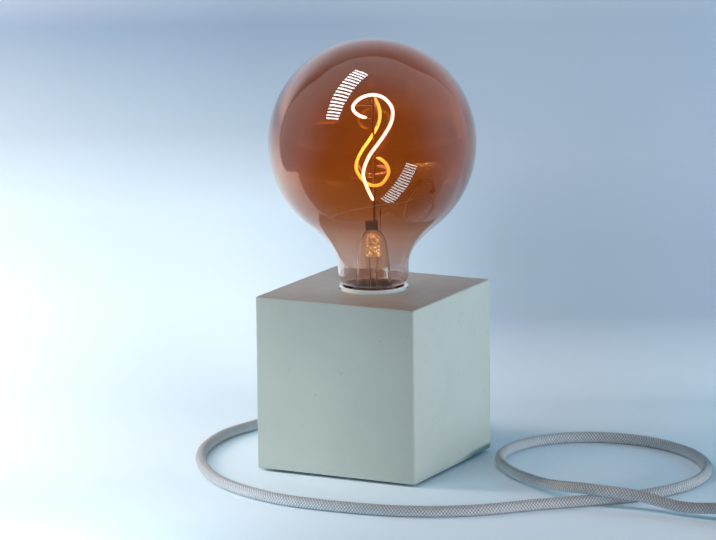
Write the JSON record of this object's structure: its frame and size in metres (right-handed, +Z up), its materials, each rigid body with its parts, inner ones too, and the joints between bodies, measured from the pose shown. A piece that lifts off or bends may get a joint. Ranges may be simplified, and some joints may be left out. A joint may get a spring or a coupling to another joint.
{
  "type": "concrete table lamp",
  "caption": "Concrete cube table lamp: recessed screw lampholder, tinted globe bulb with curled filament strips, braided cord with in-line rocker switch and flat plug.",
  "frame": {"origin": "on the surface that the lamp stands on, under the middle of the cube", "axes": "+Z up along the lampholder and the bulb; -Y out of the cube's front face; the cord leaves the rear face along +Y"},
  "size_m": [0.485, 0.2593, 0.2571],
  "materials": {
    "concrete": "cast concrete, sealed to a satin sheen, with small pores",
    "pad_rubber": "matte",
    "plate_steel": "zinc plated",
    "screw_steel": "zinc plated",
    "insert_brass": "machined",
    "black_polyamide": "fine moulded texture",
    "black_rubber": "moulded, matte",
    "cord_braid": "braided textile with a soft sheen",
    "brown_core": "extruded",
    "blue_core": "extruded",
    "white_porcelain": "glazed",
    "core_ceramic": "unglazed",
    "shell_nickel": "rolled thread",
    "contact_brass": "stamped",
    "smoked_glass": "clear, smoke tinted",
    "cap_nickel": "nickel plated",
    "black_glass": "opaque black",
    "board_green": "circuit board",
    "driver_black": "moulded",
    "stem_glass": "clear",
    "sleeve_brown": "moulded",
    "post_metal": "drawn wire",
    "support_metal": "drawn wire",
    "filament_white": "light-emitting strip coated with phosphor",
    "filament_amber": "light-emitting strip coated with phosphor",
    "tie_black": "woven strap",
    "switch_black": "moulded",
    "rocker_black": "moulded",
    "plug_black": "moulded"
  },
  "bodies": {
    "root": {"concrete_body": "concrete", "base_pad": "pad_rubber", "base_plate": "plate_steel", "base_screws": "screw_steel", "thread_inserts": "insert_brass", "cord_clamp": "black_polyamide", "clamp_bar": "black_polyamide", "clamp_screws": "screw_steel", "strain_relief": "black_rubber", "inner_cord": "cord_braid", "live_core": "brown_core", "neutral_core": "blue_core", "nipple": "plate_steel", "nipple_nut": "contact_brass", "nipple_washer": "plate_steel", "holder_dome": "white_porcelain", "holder_core": "core_ceramic", "terminal_screws": "contact_brass", "holder_skirt": "white_porcelain", "thread_shell": "shell_nickel", "centre_contact": "contact_brass", "side_contact": "contact_brass", "cord_run": "cord_braid", "cord_link": "cord_braid", "cord_coil": "cord_braid", "cord_tail": "cord_braid", "coil_tie": "tie_black", "switch_base": "switch_black", "switch_cover": "switch_black", "switch_terminals": "contact_brass", "switch_cores": "blue_core", "switch_cord_ends": "cord_braid", "switch_screws": "screw_steel", "plug_body": "plug_black", "plug_pins": "cap_nickel", "pin_sleeves": "plug_black", "plug_relief": "plug_black"},
    "bulb_tip": {"cap_contact": "cap_nickel"},
    "bulb": {"bulb_glass": "smoked_glass", "bulb_cap": "cap_nickel", "cap_insulator": "black_glass", "driver_board": "board_green", "driver_parts": "driver_black", "glass_stem": "stem_glass", "stem_sleeve": "sleeve_brown", "centre_post": "post_metal", "filament_front": "filament_white", "filament_rear": "filament_amber", "filament_supports": "support_metal", "lead_wires": "support_metal"},
    "rocker": {"switch_rocker": "rocker_black", "rocker_contact": "contact_brass"}
  },
  "joints": [
    {"name": "bulb_lift", "type": "slide", "parent": "root", "child": "bulb_tip", "axis": [0, 0, 1], "range_m": [0, 0.0181]},
    {"name": "bulb_turn", "type": "hinge", "parent": "bulb_tip", "child": "bulb", "pos_m": [0, 0, 0.1], "axis": [0, 0, 1], "range_deg": [0, 1800]},
    {"name": "rocker_tilt", "type": "hinge", "parent": "root", "child": "rocker", "pos_m": [0.299, -0.05, 0.0145], "axis": [0, -1, 0], "range_deg": [0, 14]}
  ],
  "couplings": [
    {"joint": "bulb_lift", "follows": "bulb_turn", "m_per_rad": 0.00057614}
  ]
}
